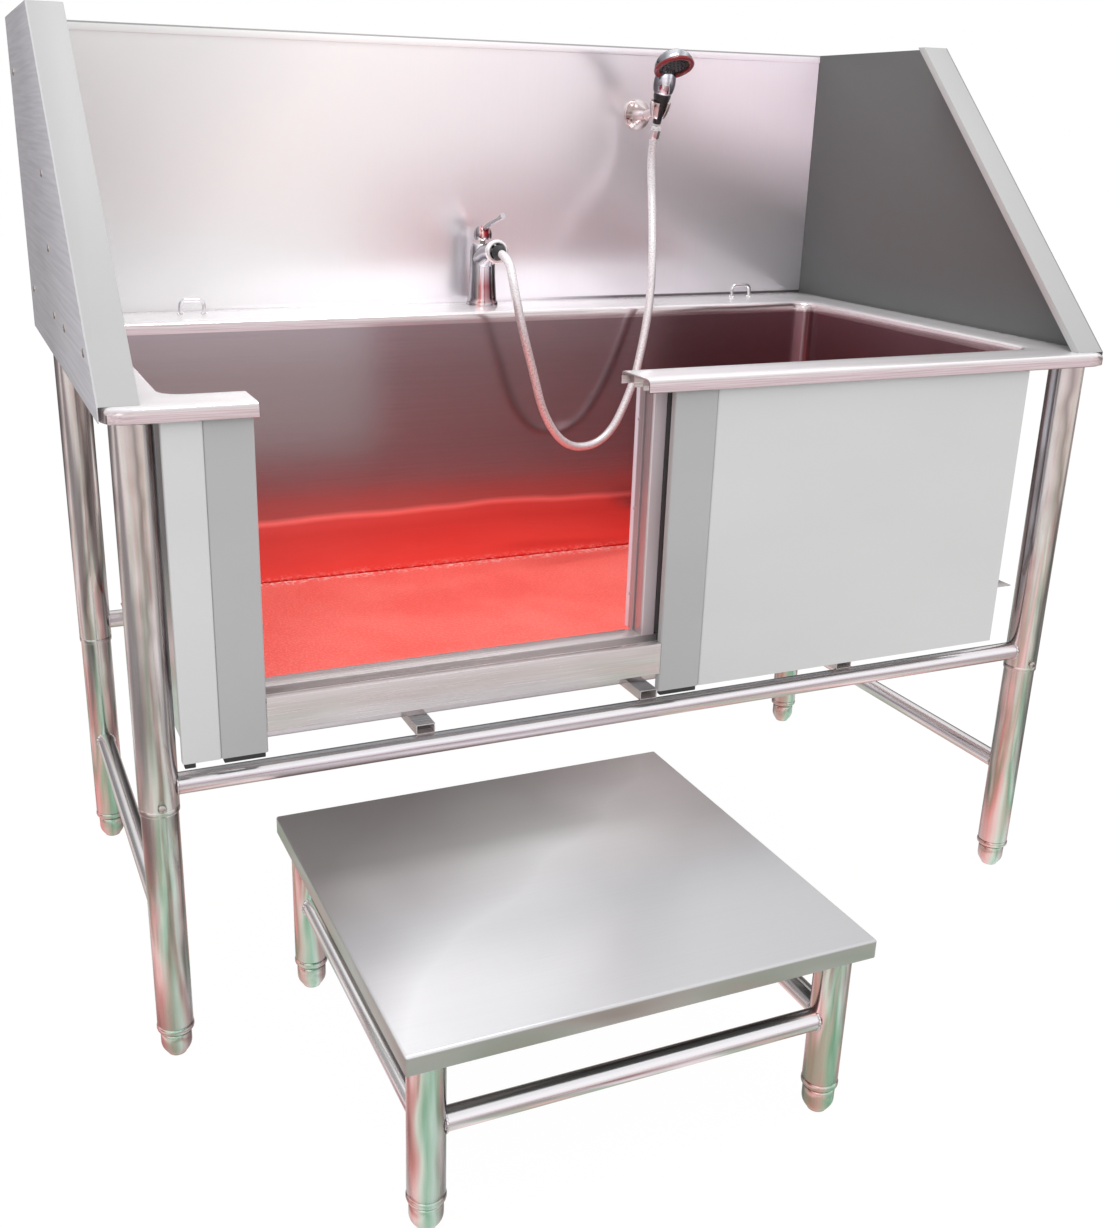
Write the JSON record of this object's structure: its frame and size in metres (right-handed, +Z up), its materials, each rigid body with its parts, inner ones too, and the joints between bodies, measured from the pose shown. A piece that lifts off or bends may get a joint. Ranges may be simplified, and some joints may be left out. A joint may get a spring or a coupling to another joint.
{
  "type": "pet bathtub",
  "caption": "Walk-in stainless dog grooming bath on legs with splash guards, sliding door, mixer with hand shower, rubber floor mat and a step stool.",
  "frame": {"origin": "On the floor, at the middle of the box round the bath and its stool.", "axes": "+X along the bath (length), +Y from the door side to the splash back, +Z up."},
  "size_m": [1.3, 1.08, 1.169],
  "materials": {
    "splash_back_steel": "brushed",
    "guard_light_steel": "satin",
    "guard_dark_steel": "satin",
    "basin_steel": "brushed",
    "rim_steel": "polished",
    "panel_light_steel": "satin",
    "strip_grey_steel": "satin",
    "sill_steel": "brushed",
    "tube_steel": "polished",
    "foot_steel": "polished",
    "screw_steel": "satin",
    "stool_top_steel": "brushed",
    "black_rubber": "matt",
    "black_plastic": "gloss",
    "red_mat_rubber": "pebbled",
    "red_plastic": "gloss",
    "chrome": "polished",
    "dark_chrome": "polished",
    "bracket_chrome": "polished",
    "brass": "machined",
    "hose_silver": "ribbed"
  },
  "bodies": {
    "tub": {"back_splash": "splash_back_steel", "basin_floor": "basin_steel", "basin_walls": "basin_steel", "bracket_base": "bracket_chrome", "bracket_cradle": "bracket_chrome", "case_screws": "screw_steel", "door_jambs": "sill_steel", "door_sill": "sill_steel", "door_strips": "strip_grey_steel", "door_tracks": "sill_steel", "drain_fittings": "chrome", "drain_tailpiece": "black_plastic", "floor_bearers": "sill_steel", "foot_inserts": "tube_steel", "front_panels": "panel_light_steel", "hose_nut_mixer": "black_rubber", "left_splash": "guard_light_steel", "leg_lower_tubes": "tube_steel", "leg_rails": "tube_steel", "leg_upper_tubes": "tube_steel", "mixer_body": "chrome", "mixer_cartridge": "black_plastic", "mixer_fixings": "brass", "mixer_inlets": "brass", "outlet_ring": "chrome", "right_splash": "guard_dark_steel", "rim_back_deck": "rim_steel", "rim_ends": "rim_steel", "rim_fronts": "rim_steel", "rubber_stops": "black_rubber", "shower_hose": "hose_silver", "tether_loops": "chrome"},
    "door": {"door_skin": "panel_light_steel", "door_liner": "sill_steel", "door_pull_cup": "sill_steel", "door_seal": "black_rubber", "door_glides": "black_plastic"},
    "mixer_stem_turn": {"mixer_stem": "brass"},
    "mixer_handle_lift": {"mixer_handle": "chrome"},
    "handset": {"handset_grip": "black_plastic", "handset_body": "dark_chrome", "handset_head": "dark_chrome", "spray_ring": "red_plastic", "spray_face": "black_plastic", "hose_nut_handset": "chrome"},
    "mat": {"floor_mat": "red_mat_rubber"},
    "plug": {"drain_plug": "black_rubber"},
    "stool": {"stool_top": "stool_top_steel", "stool_legs": "tube_steel", "stool_rails": "tube_steel", "stool_foot_inserts": "tube_steel"},
    "foot_back_left": {"foot_back_left": "foot_steel"},
    "foot_back_right": {"foot_back_right": "foot_steel"},
    "foot_front_left": {"foot_front_left": "foot_steel"},
    "foot_front_right": {"foot_front_right": "foot_steel"},
    "stool_foot_back_left": {"stool_foot_back_left": "foot_steel"},
    "stool_foot_back_right": {"stool_foot_back_right": "foot_steel"},
    "stool_foot_front_left": {"stool_foot_front_left": "foot_steel"},
    "stool_foot_front_right": {"stool_foot_front_right": "foot_steel"}
  },
  "joints": [
    {"name": "door_slide", "type": "slide", "parent": "tub", "child": "door", "axis": [-1, 0, 0], "range_m": [0, 0.507]},
    {"name": "mixer_turn", "type": "hinge", "parent": "tub", "child": "mixer_stem_turn", "pos_m": [0.022, 0.497, 0.887], "axis": [0, 0, 1], "range_deg": [-50, 50]},
    {"name": "mixer_lift", "type": "hinge", "parent": "mixer_stem_turn", "child": "mixer_handle_lift", "pos_m": [0.022, 0.497, 0.887], "axis": [-1, 0, 0], "range_deg": [0, 18]},
    {"name": "handset_lift", "type": "slide", "parent": "tub", "child": "handset", "axis": [0, -0.3011, 0.9536], "range_m": [0, 0.015]},
    {"name": "mat_lift", "type": "slide", "parent": "tub", "child": "mat", "axis": [0, 0, 1], "range_m": [0, 0.15]},
    {"name": "plug_lift", "type": "slide", "parent": "tub", "child": "plug", "axis": [0, 0, 1], "range_m": [0, 0.08]},
    {"name": "stool_slide", "type": "slide", "parent": "tub", "child": "stool", "axis": [0, 1, 0], "range_m": [-0.25, 0.4]},
    {"name": "foot_back_left_screw", "type": "slide", "parent": "tub", "child": "foot_back_left", "axis": [0, 0, -1], "range_m": [0, 0.03]},
    {"name": "foot_back_right_screw", "type": "slide", "parent": "tub", "child": "foot_back_right", "axis": [0, 0, -1], "range_m": [0, 0.03]},
    {"name": "foot_front_left_screw", "type": "slide", "parent": "tub", "child": "foot_front_left", "axis": [0, 0, -1], "range_m": [0, 0.03]},
    {"name": "foot_front_right_screw", "type": "slide", "parent": "tub", "child": "foot_front_right", "axis": [0, 0, -1], "range_m": [0, 0.03]},
    {"name": "stool_foot_back_left_screw", "type": "slide", "parent": "stool", "child": "stool_foot_back_left", "axis": [0, 0, -1], "range_m": [0, 0.03]},
    {"name": "stool_foot_back_right_screw", "type": "slide", "parent": "stool", "child": "stool_foot_back_right", "axis": [0, 0, -1], "range_m": [0, 0.03]},
    {"name": "stool_foot_front_left_screw", "type": "slide", "parent": "stool", "child": "stool_foot_front_left", "axis": [0, 0, -1], "range_m": [0, 0.03]},
    {"name": "stool_foot_front_right_screw", "type": "slide", "parent": "stool", "child": "stool_foot_front_right", "axis": [0, 0, -1], "range_m": [0, 0.03]}
  ]
}
